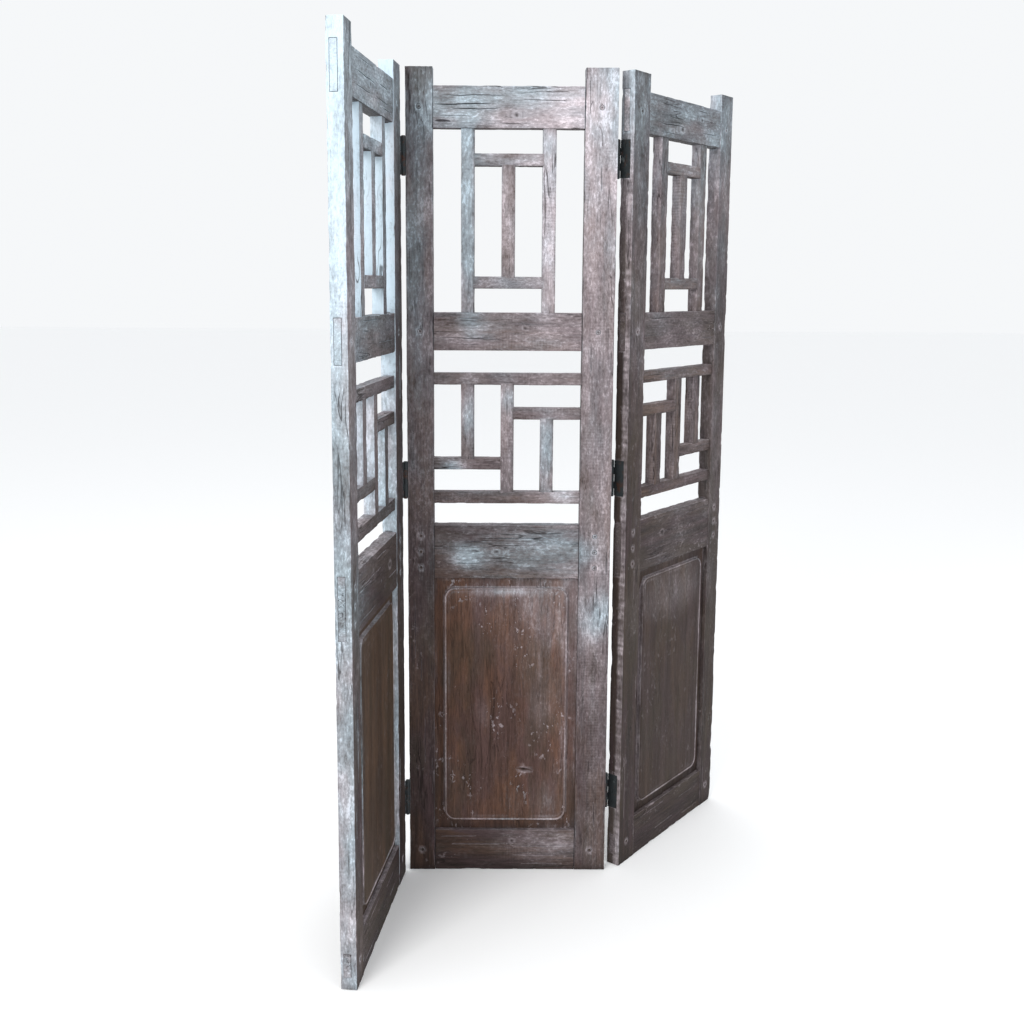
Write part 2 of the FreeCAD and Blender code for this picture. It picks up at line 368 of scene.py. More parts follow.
def scattered_cracks(low, high, along, count):
    """Cracks on both faces, mostly near the ends, and well apart."""
    cuts = []
    across = 2 - along
    size = high - low
    for number in range(count):
        face = low.y if number % 3 < 2 else high.y
        length = chance.uniform(0.05, 0.16) * min(1.0, size[along] / 0.4)
        reach = size[along] - length
        share = chance.choice((chance.uniform(0.01, 0.2), chance.uniform(0.8, 0.99),
                               chance.uniform(0.2, 0.8)))
        start = Vector((0, face, 0))
        start[along] = low[along] + reach * share
        lane = (number + 0.5 + chance.uniform(-0.25, 0.25)) / count
        start[across] = low[across] + size[across] * (0.08 + 0.84 * lane)
        cuts.append(crack(start, along, length, chance.uniform(0.0009, 0.0018),
                          chance.uniform(0.004, 0.008), 0.003))
    return cuts


# %% [markdown]
# ## What each point knows about its wood
#
# The paint job needs to know three things at each point: where it is along, across and
# through its board, how much white is left there, and how much grime and painted shade
# it carries and how exposed it is.
# We store these as two attributes on the mesh. The first is called grain. A random
# offset for each board stops one board's figure from running on into the next.
#
# The whitewash is strongest at the top and has worn to bare wood lower down. Each leaf
# gets a small table: the share of white at seven heights, on its left, in its middle
# and on its right. The narrow sides of the timbers get a row of their own, because a
# brush catches them more. A few pale places are then added one by one.

# %% How the whitewash is spread over each leaf
table_heights = (0.0, 0.20, 0.40, 0.55, 0.70, 0.85, 1.0)
whitewash = {
    "left_leaf": ((0.05, 0.04, 0.11, 0.17, 0.26, 0.30, 0.42),
                  (0.00, 0.00, 0.01, 0.08, 0.17, 0.30, 0.46),
                  (0.00, 0.00, 0.04, 0.03, 0.04, 0.07, 0.30)),
    "centre_leaf": ((0.00, 0.01, 0.03, 0.11, 0.19, 0.20, 0.08),
                    (0.00, 0.03, 0.12, 0.17, 0.20, 0.31, 0.45),
                    (0.05, 0.11, 0.23, 0.22, 0.29, 0.50, 0.54)),
    "right_leaf": ((0.00, 0.00, 0.00, 0.01, 0.09, 0.11, 0.19),
                   (0.01, 0.01, 0.06, 0.09, 0.14, 0.18, 0.28),
                   (0.00, 0.01, 0.03, 0.11, 0.05, 0.17, 0.29)),
}
side_whitewash = {
    "left_leaf": (0.45, 0.42, 0.40, 0.33, 0.68, 0.90, 0.90),
    "centre_leaf": (0.02, 0.03, 0.08, 0.10, 0.12, 0.18, 0.25),
    "right_leaf": (0.16, 0.03, 0.06, 0.07, 0.10, 0.22, 0.62),
}
top_whites = {"left_leaf": 0.30, "centre_leaf": 0.12, "right_leaf": 0.10}
side_coolness = {"left_leaf": 0.35, "centre_leaf": 0.35, "right_leaf": -0.25}
cool_heights = (0.0, 0.70, 1.0)
coolness = {
    "left_leaf": (0.20, 0.50, 0.95),
    "centre_leaf": (0.05, 0.20, 0.50),
    "right_leaf": (0.05, 0.20, 0.85),
}

leaf_low = {}
leaf_high = {}
for leaf in swings:
    boxes = [flat_box(node) for node in frame["nodes"]
             if node.startswith(leaf) and "stile" in node]
    leaf_low[leaf] = Vector([min(low[axis] for low, high in boxes) for axis in range(3)])
    leaf_high[leaf] = Vector([max(high[axis] for low, high in boxes) for axis in range(3)])
print("leaf size", [round(side, 4) for side in leaf_high["centre_leaf"] - leaf_low["centre_leaf"]])

# each place: how far right and how high in the leaf, its half width and half height,
# and how much white and how much coolness it adds
pale_places = {
    "left_leaf": (
        (0.2, 1.74, 0.1, 0.02, 0.1, 0.2), (0.06, 0.75, 0.05, 0.06, 0.03, 0.5),
    ),
    "centre_leaf": (
        (0.133, 1.5, 0.02, 0.22, 0.14, 0.7), (0.305, 1.45, 0.022, 0.25, 0.12, 0.0),
        (0.15, 1.255, 0.04, 0.035, 0.18, 0.4), (0.1, 1.71, 0.08, 0.06, 0.12, 0.5),
        (0.34, 1.72, 0.11, 0.06, 0.16, -0.3), (0.02, 1.4, 0.022, 0.35, 0.03, 0.7),
        (0.05, 1.73, 0.015, 0.04, 0.12, 0.2), (0.135, 0.748, 0.036, 0.024, 0.42, 0.6),
        (0.22, 0.757, 0.17, 0.06, 0.0, 0.6), (0.31, 0.76, 0.09, 0.04, 0.14, 0.8),
        (0.425, 0.615, 0.04, 0.06, 0.32, 0.7), (0.225, 0.664, 0.07, 0.009, 0.3, 0.4),
        (0.285, 0.63, 0.036, 0.04, 0.1, 0.2), (0.318, 0.56, 0.005, 0.06, 0.1, 0.0),
        (0.298, 0.5, 0.004, 0.05, 0.08, 0.0), (0.34, 0.6, 0.004, 0.05, 0.1, 0.0),
        (0.17, 0.375, 0.02, 0.04, 0.07, 0.2), (0.3, 0.385, 0.022, 0.045, 0.07, 0.2),
        (0.24, 0.16, 0.05, 0.06, 0.05, 0.6), (0.315, 0.17, 0.025, 0.05, 0.06, 0.1),
        (0.31, 0.06, 0.09, 0.04, 0.13, -0.2), (0.1, 0.945, 0.03, 0.018, 0.32, 0.7),
        (0.135, 1.06, 0.02, 0.06, 0.3, 0.6), (0.22, 1.1, 0.022, 0.04, 0.26, 0.4),
        (0.305, 1.0, 0.02, 0.06, 0.28, 0.5), (0.34, 0.885, 0.04, 0.02, 0.28, 0.4),
    ),
    "right_leaf": (
        (0.11, 1.6, 0.012, 0.1, 0.06, -0.5), (0.25, 1.735, 0.06, 0.012, 0.14, 0.3),
        (0.37, 1.69, 0.04, 0.02, 0.2, 0.4), (0.03, 1.7, 0.025, 0.03, 0.1, 0.4),
        (0.22, 0.61, 0.16, 0.06, 0.11, 0.1),
    ),
}


# %% Write the two attributes
def spread(leaf, points, sides):
    """The white and its coolness at each point; sides is 1 on a timber's narrow sides."""
    low, high = leaf_low[leaf], leaf_high[leaf]
    across = np.clip((points[:, 0] - low.x) / (high.x - low.x), 0, 1)
    up = np.clip((points[:, 2] - low.z) / (high.z - low.z), 0, 1)
    left, middle, right = (np.interp(up, table_heights, row) for row in whitewash[leaf])
    white = np.where(across < 0.5, left + (middle - left) * across * 2,
                     middle + (right - middle) * (across * 2 - 1))
    white += (np.interp(up, table_heights, side_whitewash[leaf]) - white) * sides
    cool = np.interp(up, cool_heights, coolness[leaf])
    cool = cool + side_coolness[leaf] * sides
    for right_by, height, half_width, half_height, more_white, more_cool in pale_places[leaf]:
        away = ((points[:, 0] - low.x - right_by) / half_width) ** 2
        away += ((points[:, 2] - low.z - height) / half_height) ** 2
        near = np.exp(-away) * (1 - sides)
        white += more_white * near
        cool += more_cool * near
    return white, cool


def point_values(piece):
    count = len(piece.data.vertices)
    points, normals = np.zeros(count * 3), np.zeros(count * 3)
    piece.data.vertices.foreach_get("co", points)
    piece.data.vertex_normals.foreach_get("vector", normals)
    return points.reshape(-1, 3), normals.reshape(-1, 3)


def write_attribute(piece, name, kind, values):
    attribute = piece.data.attributes.new(name, kind, "POINT")
    field = "vector" if kind == "FLOAT_VECTOR" else "color"
    attribute.data.foreach_set(field, values.astype(np.float32).ravel())


def facing(normal_part):
    """1 where a face looks squarely that way, and 0 where it looks well away."""
    return np.clip(normal_part * 2 - 0.7, 0, 1)


def knot_effects(points, along, knots):
    """How knots bend the fibres, and where their dark hearts and pale rings lie."""
    bend, heart, ring = np.zeros((3, len(points)))
    for knot_along, knot_across, radius in knots:
        rise = (points[:, 2 - along] - knot_across) / radius
        reach = (points[:, along] - knot_along) / (radius * 2.4)
        near = np.exp(-(reach ** 2 + rise ** 2) / 2)
        bend -= radius * 0.9 * near * np.tanh(rise * 2)
        distance = np.hypot(reach * 2.0, rise)
        heart = np.maximum(heart, np.clip(1.5 - distance * 2.4, 0, 1))
        ring = np.maximum(ring, np.exp(-((distance - 0.9) / 0.3) ** 2))
    return bend, heart, ring


def peg_rings(points, rings):
    """Pale rings on a face, one round each peg."""
    white = np.zeros(len(points))
    for x, z, radius in rings:
        distance = np.hypot(points[:, 0] - x, points[:, 2] - z)
        white += 0.20 * np.exp(-((distance - radius * 1.45) / (radius * 0.35)) ** 2)
    return white


def mark(piece, leaf, along, extra_white=0.0, side_white=0.0, painted_shadow_edge=0.0, knots=(),
         rings=(), extra=None):
    """Stores grain, and finish: white, coolness, grime with painted shade, and exposed arris."""
    points, normals = point_values(piece)
    low, high = points.min(0), points.max(0)
    across = 2 - along
    sides, fronts = facing(np.abs(normals[:, 0])), facing(np.abs(normals[:, 1]))
    top, under = facing(normals[:, 2]), facing(-normals[:, 2])

    bend, heart, pale_knot = knot_effects(points, along, knots)
    grain = points[:, [along, across, 1]].copy()
    grain[:, 1] += bend
    grain += np.array([chance.uniform(-20, 20) for axis in range(3)])

    white, cool = spread(leaf, points, sides)
    white += extra_white + side_white * sides + top_whites[leaf] * top
    white = white * (1 - 0.75 * under) + 0.18 * pale_knot + peg_rings(points, rings) * fronts

    # Painted shade, with some grime, on front faces near the ends where members meet.
    end_distance = np.minimum(points[:, along] - low[along], high[along] - points[:, along])
    foot_distance = points[:, 2] - leaf_low[leaf].z
    # Painted shadow along the right edge of upright bars and the lower edge of crossing bars.
    shadow_edge_distance = high[across] - points[:, across] if along == 2 else points[:, 2] - low[2]
    # Painted shade on undersides; darker towards the leaf's foot.
    grime_and_shade = 0.45 * np.exp(-end_distance / 0.010) * fronts + 0.25 * under
    grime_and_shade += 0.5 * np.exp(-foot_distance / 0.012) + painted_shadow_edge * np.exp(-shadow_edge_distance / 0.0022)
    if extra is not None:
        more_white, more_grime_and_shade = extra(points)
        white += more_white
        grime_and_shade += more_grime_and_shade
    exposed = (1 - np.abs(normals).max(1) - 0.05) / 0.2
    finish = np.clip(np.stack([white, cool, grime_and_shade + heart, exposed], 1), 0, 1)
    write_attribute(piece, "grain", "FLOAT_VECTOR", grain)
    write_attribute(piece, "finish", "FLOAT_COLOR", finish)


# %% [markdown]
# ## The whitewashed teak
#
# Up close the wood has four layers. At the bottom is weathered teak, dark between its
# fibres. A thin grey film of old wash is rubbed into all of it. Over that lie patches
# of brighter white, broken up by the fibres, so that they end in streaks. Last come
# dark things: open pores, checks along the grain, saw marks across it, and grime mixed
# with painted shade near the joints, under the timbers and beside the frames.
# One function builds the layers, and each material chooses its own colours.

# %% Small helpers for node trees
def paint(red, green, blue):
    """A colour on the usual 0 to 255 scale, as the linear light that shaders use."""
    def linear(value):
        share = value / 255
        return share / 12.92 if share <= 0.04045 else ((share + 0.055) / 1.055) ** 2.4
    return (linear(red), linear(green), linear(blue), 1.0)


def connect(tree, value, socket):
    if isinstance(value, bpy.types.NodeSocket):
        tree.links.new(value, socket)
    else:
        socket.default_value = value


def maths(tree, operation, first, second=0.0, clamp=False):
    step = tree.nodes.new("ShaderNodeMath")
    step.operation = operation
    step.use_clamp = clamp
    connect(tree, first, step.inputs[0])
    connect(tree, second, step.inputs[1])
    return step.outputs[0]


def add(tree, first, second, clamp=False):
    return maths(tree, "ADD", first, second, clamp)


def times(tree, first, second):
    return maths(tree, "MULTIPLY", first, second)


def weighted_sum(tree, *terms):
    """Adds up the values, each times its weight."""
    total = times(tree, *terms[0])
    for term in terms[1:]:
        total = add(tree, total, times(tree, *term))
    return total


def sway(tree, value, amount):
    """How far a noise is above or below its middle, times an amount."""
    return times(tree, maths(tree, "SUBTRACT", value, 0.5), amount)


def fade(tree, value, start, end):
    """Goes smoothly from 0 to 1 as the value goes from start to end."""
    step = tree.nodes.new("ShaderNodeMapRange")
    step.interpolation_type = "SMOOTHSTEP"
    for number, setting in enumerate((value, start, end)):
        connect(tree, setting, step.inputs[number])
    return step.outputs[0]


def blend_colours(tree, share, first, second):
    step = tree.nodes.new("ShaderNodeMix")
    step.data_type = "RGBA"
    connect(tree, share, step.inputs[0])
    connect(tree, first, step.inputs[6])
    connect(tree, second, step.inputs[7])
    return step.outputs[2]


def scaled(tree, vector, scale):
    step = tree.nodes.new("ShaderNodeMapping")
    tree.links.new(vector, step.inputs["Vector"])
    step.inputs["Scale"].default_value = scale
    return step.outputs[0]


def speckle(tree, vector, scale, detail=4.0, roughness=0.6, distortion=0.0):
    """Noise whose features per metre differ along, across and through the board."""
    step = tree.nodes.new("ShaderNodeTexNoise")
    tree.links.new(scaled(tree, vector, scale), step.inputs["Vector"])
    step.inputs["Scale"].default_value = 1.0
    step.inputs["Detail"].default_value = detail
    step.inputs["Roughness"].default_value = roughness
    step.inputs["Distortion"].default_value = distortion
    return step.outputs[0]


def bands(tree, vector, scale, distortion, detail, detail_scale):
    """Wavy parallel bands across the first axis of the scaled vector."""
    step = tree.nodes.new("ShaderNodeTexWave")
    step.wave_type = "BANDS"
    step.bands_direction = "X"
    tree.links.new(scaled(tree, vector, scale), step.inputs["Vector"])
    step.inputs["Scale"].default_value = 1.0
    step.inputs["Distortion"].default_value = distortion
    step.inputs["Detail"].default_value = detail
    step.inputs["Detail Scale"].default_value = detail_scale
    return step.outputs[1]


# %% [markdown]
# The noises are read on the grain attribute, whose first number runs along the board. A
# scale of (20, 260, 260) means 20 features to the metre along it and 260 across it, so
# the features come out long and thin, as fibres are.

# %% The bare wood: broad figure, olive places and pores
def bare_wood(tree, vector, fibres, dark, light, blush):
    figure = speckle(tree, vector, (1.6, 34, 34), 3.0, 0.55, 1.2)
    stain = speckle(tree, vector, (3.5, 13, 13), 4.0, 0.6, 0.5)
    tone = weighted_sum(tree, (fibres, 0.5), (figure, 0.5))
    warm = blend_colours(tree, fade(tree, stain, 0.40, 0.60), light, blush)
    wood = blend_colours(tree, fade(tree, tone, 0.27, 0.73), dark, warm)
    olive_places = fade(tree, speckle(tree, vector, (4, 11, 11), 3.0, 0.6, 0.4), 0.48, 0.66)
    wood = blend_colours(tree, times(tree, olive_places, 0.45), wood, paint(64, 56, 46))
    pores = fade(tree, speckle(tree, vector, (55, 1400, 1400), 1.0), 0.60, 0.70)
    wood = blend_colours(tree, times(tree, pores, 0.55), wood, paint(24, 18, 16))
    return wood, pores


# %% [markdown]
# The whitewash is a film. Where the board has little white, only rubbed spots of it are
# left. Where it has much, the film closes up, so its patches and spots vary less.

# %% How much white covers the wood
def wash_share(tree, vector, white, exposed, fibres, saw, flaking):
    patches = speckle(tree, vector, (14, 30, 30), 5.0, 0.62)
    spots = speckle(tree, vector, (95, 190, 190), 4.0, 0.7)
    uneven = add(tree, sway(tree, patches, 2.7), sway(tree, spots, 2.6))
    uneven = add(tree, uneven, sway(tree, fibres, 1.2))
    uneven = add(tree, uneven, sway(tree, saw, 0.3))
    calm = maths(tree, "SUBTRACT", 1.0, times(tree, white, 0.55))
    share = times(tree, white, add(tree, 1.1, times(tree, uneven, calm)))

    rubbed = fade(tree, add(tree, spots, sway(tree, patches, 0.8)), 0.56, 0.70)
    left_over = add(tree, 0.022, times(tree, white, 0.45))
    share = add(tree, share, times(tree, rubbed, left_over))

    flakes = fade(tree, speckle(tree, vector, (75, 120, 120), 3.0, 0.6), 0.60, 0.64)
    flake_places = fade(tree, speckle(tree, vector, (9, 16, 16), 2.0), 0.50, 0.62)
    flakes = times(tree, flakes, times(tree, flake_places, flaking))
    share = add(tree, share, flakes)
    share = add(tree, share, times(tree, exposed, times(tree, spots, 0.30)), True)
    return share, spots, flakes


def wash_colour(tree, vector, cool, fine_fibres):
    """Pinkish white to bluish white, greyed along the finest fibres."""
    hue = add(tree, cool, sway(tree, speckle(tree, vector, (5, 13, 13), 3.0), 1.9))
    pale = blend_colours(tree, fade(tree, hue, 0.0, 1.0), paint(224, 211, 217),
                         paint(202, 221, 233))
    return blend_colours(tree, times(tree, fine_fibres, 0.22), pale, paint(160, 154, 160))


# %% [markdown]
# Saw marks run across the board, in places. A check is a thin crack in the surface. It
# follows the line where a slow noise passes through its middle value, because that line
# wanders and never ends bluntly.

# %% Saw marks and checks
def saw_lines(tree, vector, saw_marks):
    saw = bands(tree, vector, (46, 6, 6), 5.0, 3.0, 0.8)
    places = fade(tree, speckle(tree, vector, (6, 20, 20), 3.0), 0.52, 0.64)
    return times(tree, saw, times(tree, places, saw_marks))


def drying_checks(tree, vector):
    wander = speckle(tree, vector, (6, 70, 70), 2.0, 0.45, 0.5)
    line = maths(tree, "ABSOLUTE", maths(tree, "SUBTRACT", wander, 0.5))
    places = fade(tree, speckle(tree, vector, (4, 14, 14), 2.0), 0.54, 0.64)
    return times(tree, fade(tree, line, 0.022, 0.004), places)


# %% Put the teak together
def new_finish(name):
    material = bpy.data.materials.new(name)
    material.use_nodes = True
    return material, material.node_tree, material.node_tree.nodes["Principled BSDF"]


def add_bump(tree, shader, height, strength, distance):
    bump = tree.nodes.new("ShaderNodeBump")
    bump.inputs["Strength"].default_value = strength
    bump.inputs["Distance"].default_value = distance
    tree.links.new(height, bump.inputs["Height"])
    tree.links.new(bump.outputs[0], shader.inputs["Normal"])


def attribute(tree, name):
    step = tree.nodes.new("ShaderNodeAttribute")
    step.attribute_name = name
    return step.outputs


def whitewashed_teak(name, dark, light, blush, saw_marks=0.5, flaking=0.12, cracking=0.7):
    material, tree, shader = new_finish(name)
    vector = attribute(tree, "grain")["Vector"]
    finish = attribute(tree, "finish")
    parts = tree.nodes.new("ShaderNodeSeparateColor")
    tree.links.new(finish["Color"], parts.inputs[0])
    white, cool, grime_and_shade = parts.outputs

    fibres = speckle(tree, vector, (20, 260, 260), 5.0, 0.65, 0.2)
    fine_fibres = speckle(tree, vector, (30, 1100, 1100), 2.0, 0.5)
    wood, pores = bare_wood(tree, vector, fibres, dark, light, blush)
    saw = saw_lines(tree, vector, saw_marks)
    share, spots, flakes = wash_share(tree, vector, white, finish["Alpha"], fibres, saw,
                                      flaking)
    colour = blend_colours(tree, share, wood, wash_colour(tree, vector, cool, fine_fibres))
    checks = drying_checks(tree, vector)
    colour = blend_colours(tree, times(tree, checks, cracking), colour, paint(30, 23, 21))
    # Grime and painted shade darken the colour here.
    colour = blend_colours(tree, times(tree, grime_and_shade, 0.75), colour, paint(30, 24, 22))
    tree.links.new(colour, shader.inputs["Base Color"])

    roughness = add(tree, 0.58, times(tree, share, 0.25))
    roughness = add(tree, roughness, times(tree, fibres, 0.14), True)
    tree.links.new(roughness, shader.inputs["Roughness"])
    shader.inputs["Specular IOR Level"].default_value = 0.16

    height = weighted_sum(tree, (fibres, 0.9), (fine_fibres, 0.25), (pores, -0.30),
                          (checks, -1.6), (saw, 0.4), (spots, 0.5), (flakes, 2.5))
    add_bump(tree, shader, height, 0.8, 0.0012)
    return material


# %% One material for each of the record's wooden finishes
slot_of = {part["node"]: part["material_slot"] for part in frame["record"]["subparts"]}
umber, brown, mauve = paint(34, 26, 23), paint(86, 65, 55), paint(78, 61, 62)
slate, drab, plum = paint(36, 30, 28), paint(74, 61, 54), paint(72, 57, 59)
# dark wood, light wood and blush, then the strength of saw marks, flakes and checks
wooden_finishes = {
    "left_frame_wood": (slate, drab, plum),
    "left_bar_wood": (slate, drab, plum, 1.0),
    "left_panel_wood": (paint(50, 38, 30), paint(94, 73, 58), paint(82, 67, 57),
                        0.1, 0.1, 0.3),
    "centre_frame_wood": (umber, brown, mauve, 0.9),
    "centre_bar_wood": (umber, brown, mauve, 0.9),
    "centre_panel_wood": (paint(60, 43, 36), paint(112, 80, 64), paint(96, 73, 70),
                          0.1, 0.34, 0.3),
    "right_frame_wood": (slate, drab, plum),
    "right_bar_wood": (umber, paint(104, 82, 70), mauve, 1.2),
    "right_panel_wood": (paint(46, 36, 32), paint(80, 65, 57), paint(74, 61, 60),
                         0.1, 0.08, 0.3),
    "peg_wood": (paint(40, 30, 26), paint(84, 66, 56), paint(76, 62, 60), 0.0),
}
materials = {slot: whitewashed_teak(slot.replace("_", " "), *look)
             for slot, look in wooden_finishes.items()}
print(len(materials), "wooden finishes")


# %% [markdown]
# ## Setting a piece in place
#
# A finished piece is smoothed, given its material, swung with its leaf and tied to the
# leaf's body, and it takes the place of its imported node.

# %% Finish a piece
triangles = {}


def report(word):
    """Prints the triangles in each finished piece whose name holds the word."""
    print(word, {node: count for node, count in triangles.items() if word in node})


def set_in_place(piece, node):
    leaf = leaf_of(node)
    pick(piece)
    bpy.ops.object.shade_smooth_by_angle(angle=math.radians(38))
    piece.data.materials.clear()
    piece.data.materials.append(materials[slot_of[node]])
    piece.matrix_world = swing_matrix(leaf)
    bpy.ops.object.transform_apply()
    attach(piece, leaf)
    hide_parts(node)
    triangles[node] = sum(len(face.vertices) - 2 for face in piece.data.polygons)


# %% [markdown]
# ## The stiles
#
# A stile is the upright at each side of a leaf. Every rail passes right through it, so
# its outer edge shows the ends of the tenons, and pegs pass through it from front to
# back. We cut the mortises a hair too large, which leaves the dark line that an old
# joint shows, and sink a recess for each hinge plate.

# %% Where the rails, pegs and hinges meet a stile
rail_names = ("top_rail", "mid_rail", "lock_rail", "bottom_rail")
tenon_cheeks = (-0.0045, 0.0095)
bottom_tenon_inset = 0.025
joint_gap = 0.0006
peg_gap = 0.0006
recess_margin = 0.0005
overshoot = 0.005         # how far a cutter reaches past the wood
hair = 0.00001


def tenon_box(leaf, rail_name):
    low, high = flat_box(leaf + "_" + rail_name)
    inset = bottom_tenon_inset if rail_name == "bottom_rail" else 0.0
    return (Vector((low.x, tenon_cheeks[0], low.z + inset)),
            Vector((high.x, tenon_cheeks[1], high.z - inset)))


def mortise_tools(leaf):
    gap = Vector((overshoot, joint_gap, joint_gap))
    boxes = [tenon_box(leaf, rail_name) for rail_name in rail_names]
    return [cube_between("mortise", low - gap, high + gap) for low, high in boxes]


def peg_centres(leaf):
    points = flat_points(leaf + "_pegs")
    columns = [(start + end) / 2 for start, end in runs(points[:, 0], 0.05)]
    rows = [(start + end) / 2 for start, end in runs(points[:, 2], 0.008)]
    return columns, rows


def peg_radius(leaf):
    start, end = runs(flat_points(leaf + "_pegs")[:, 0], 0.05)[0]
    return (end - start) / 2


def peg_hole_tools(leaf, low, high):
    columns, rows = peg_centres(leaf)
    radius = peg_radius(leaf) + peg_gap
    return [rod_through(x, z, radius, low.y - 0.002, high.y + 0.002)
            for x in columns if low.x < x < high.x for z in rows]


def recess_tools(plates_node, low, high):
    """The recesses for one line of hinge plates in the stile between low and high."""
    points = flat_points(plates_node)
    on_right = points[:, 0].mean() > (low.x + high.x) / 2
    inner = points[:, 0].min() if on_right else points[:, 0].max()
    outer = high.x + overshoot if on_right else low.x - overshoot
    sunk = points[(points[:, 1] >= low.y - hair) & (points[:, 1] <= high.y + hair)]
    near, far = sunk[:, 1].min(), sunk[:, 1].max()
    open_in_front = near <= low.y + 0.002
    near -= overshoot if open_in_front else recess_margin
    far += recess_margin if open_in_front else overshoot
    return [cube_between("recess",
                         Vector((min(inner, outer), near, bottom - recess_margin)),
                         Vector((max(inner, outer), far, top + recess_margin)))
            for bottom, top in runs(points[:, 2], 0.1)]


# %% Make the six stiles
stile_cells = (0.0019, 0.0022, 0.0075)
stile_cracks = 7


def chamfer_foot(stile, x, z, size):
    """Cut the corner where the stile's outer edge meets its foot."""
    def at_corner(edge):
        return all(max(abs(v.co.x - x), abs(v.co.z - z)) < hair for v in edge.verts)

    bpy.ops.object.mode_set(mode="EDIT")
    select_where(stile, "EDGE", at_corner)
    bpy.ops.mesh.bevel(offset=size, segments=1)
    bpy.ops.object.mode_set(mode="OBJECT")


def make_stile(node, plates_node=None, cut_corner=0.0, **marks):
    leaf = leaf_of(node)
    low, high = flat_box(node)
    stile = cube_between(node + "_worn", low, high)
    if cut_corner:
        chamfer_foot(stile, high.x, low.z, cut_corner)
    divide(stile, stile_cells)
    weather(stile, 2, low, high)
    cuts = mortise_tools(leaf)
    if plates_node:
        cuts += recess_tools(plates_node, low, high)
    combine(stile, cuts, "DIFFERENCE")
    combine(stile, peg_hole_tools(leaf, low, high), "DIFFERENCE")
    combine(stile, scattered_cracks(low, high, 2, stile_cracks), "DIFFERENCE")
    columns, rows = peg_centres(leaf)
    rings = [(x, z, peg_radius(leaf)) for x in columns if low.x < x < high.x for z in rows]
    mark(stile, leaf, 2, rings=rings, **marks)
    set_in_place(stile, node)


def chattered_edge(points):
    """The right leaf's hinge edge: pale and chattered in front, stained dark behind."""
    low, high = flat_box("right_leaf_hinge_stile")
    on_edge = np.clip(1 - (points[:, 0] - low.x) / 0.003, 0, 1)
    back = (points[:, 1] - low.y) / (high.y - low.y)
    teeth = 0.6 + 0.4 * np.sin(points[:, 2] * 900 + 5 * np.sin(points[:, 2] * 130))
    patchy = 0.6 + 0.4 * np.sin(points[:, 2] * 23 + 1.5) * np.sin(points[:, 2] * 61)
    strip = np.clip((0.55 - back) / 0.2, 0, 1)
    white = 0.44 * strip * teeth * patchy - 0.10 * (1 - strip)
    return on_edge * white, 0.35 * on_edge * (1 - strip)


make_stile("left_leaf_free_stile")
make_stile("left_leaf_hinge_stile", "left_leaf_hinge_plates", side_white=0.25)
make_stile("centre_leaf_left_stile", "centre_leaf_left_hinge_plates")
make_stile("centre_leaf_right_stile", "centre_leaf_right_hinge_plates")
make_stile("right_leaf_hinge_stile", "right_leaf_hinge_plates", extra=chattered_edge)
make_stile("right_leaf_free_stile", cut_corner=0.010)
report("stile")

# %% [markdown]
# ## The rails
#
# A rail is a thick board between the stiles, with a thinner tongue of its own wood, the
# tenon, through each stile. We shape the board and the tenon bar apart and add one to
# the other, so that the shoulders stay crisp.

# %% Make the rails
rail_cells = (0.0060, 0.0022, 0.0021)
tenon_cells = (0.0080, 0.0035, 0.0035)
rail_cracks = 5


def inner_span(leaf):
    """The two faces between which the rails' shoulders fit."""
    stiles = sorted((flat_box(node) for node in frame["nodes"]
                     if node.startswith(leaf) and node.endswith("stile")),
                    key=lambda box: box[0].x)
    return stiles[0][1].x, stiles[1][0].x


def make_rail(leaf, rail_name, cracks=(), knots=()):
    node = leaf + "_" + rail_name
    low, high = flat_box(node)
    left, right = inner_span(leaf)
    body_low, body_high = Vector((left, low.y, low.z)), Vector((right, high.y, high.z))
    rail = cube_between(node + "_worn", body_low, body_high)
    divide(rail, rail_cells)
    weather(rail, 0, body_low, body_high)
    tenon_low, tenon_high = tenon_box(leaf, rail_name)
    tenon = cube_between("tenon", tenon_low, tenon_high)
    divide(tenon, tenon_cells)
    ease_arrises(tenon, 0.0006)
    wear_along(tenon, soft_noise, 0.0005, 0, 0.02, 0.05)
    combine(rail, [tenon], "UNION")
    size = body_high - body_low
    cuts = [crack((left + along * size.x, low.y, low.z + up * size.z), 0, *sizes)
            for along, up, *sizes in cracks]
    combine(rail, cuts, "DIFFERENCE")
    combine(rail, scattered_cracks(body_low, body_high, 0, rail_cracks), "DIFFERENCE")
    mark(rail, leaf, 0, knots=[(left + along * size.x, low.z + up * size.z, radius)
                               for along, up, radius in knots])
    set_in_place(rail, node)


